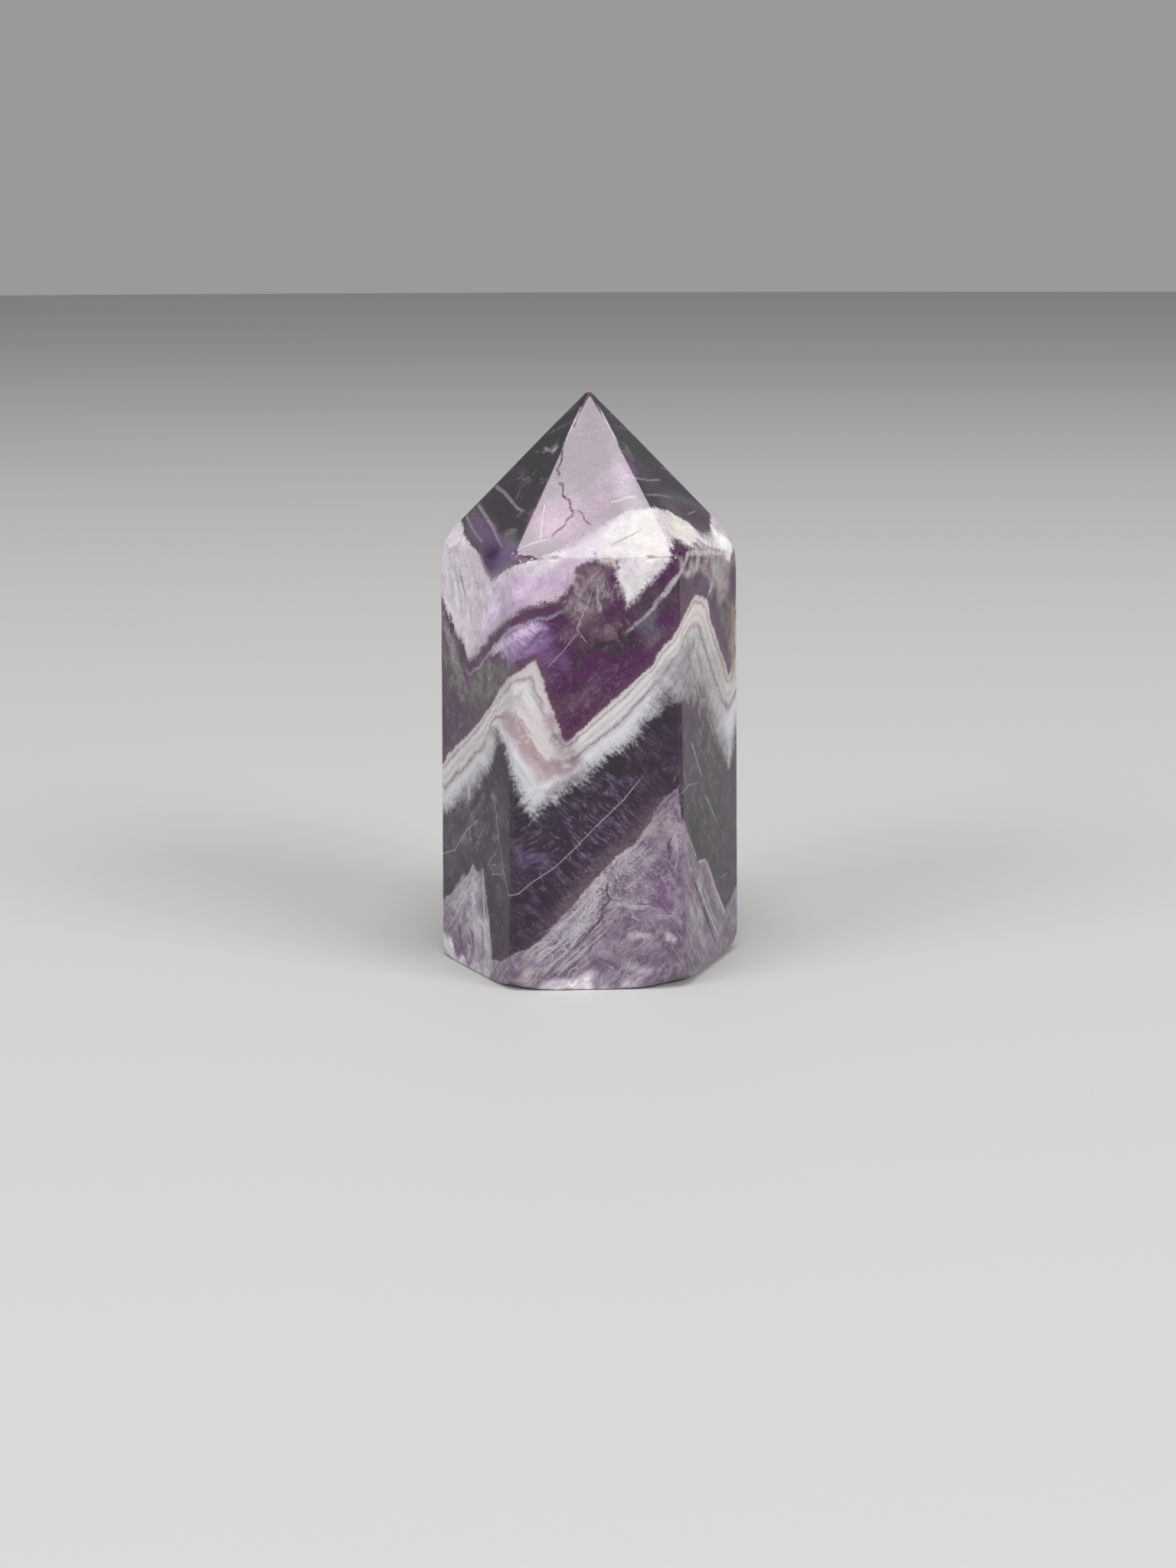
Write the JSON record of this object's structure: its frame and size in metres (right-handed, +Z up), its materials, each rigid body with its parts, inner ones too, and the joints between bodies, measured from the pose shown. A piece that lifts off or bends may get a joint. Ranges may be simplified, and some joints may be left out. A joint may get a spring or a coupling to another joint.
{
  "type": "dogtooth amethyst tower",
  "caption": "Polished six-sided banded amethyst point with a flat sawn base, standing upright; solid semi-translucent quartz with zigzag white and purple layers.",
  "frame": {"origin": "middle of the flat base, on the axis below the tip", "axes": "+Z up from the base to the tip; -Y is the widest-banded side that faces the viewer; +X to the viewer's right"},
  "size_m": [0.0318, 0.0301, 0.0598],
  "materials": {
    "amethyst": "polished banded amethyst: glossy, milky white layers and dark see-through purple layers"
  },
  "bodies": {
    "root": {"amethyst_tower": "amethyst"}
  },
  "joints": []
}
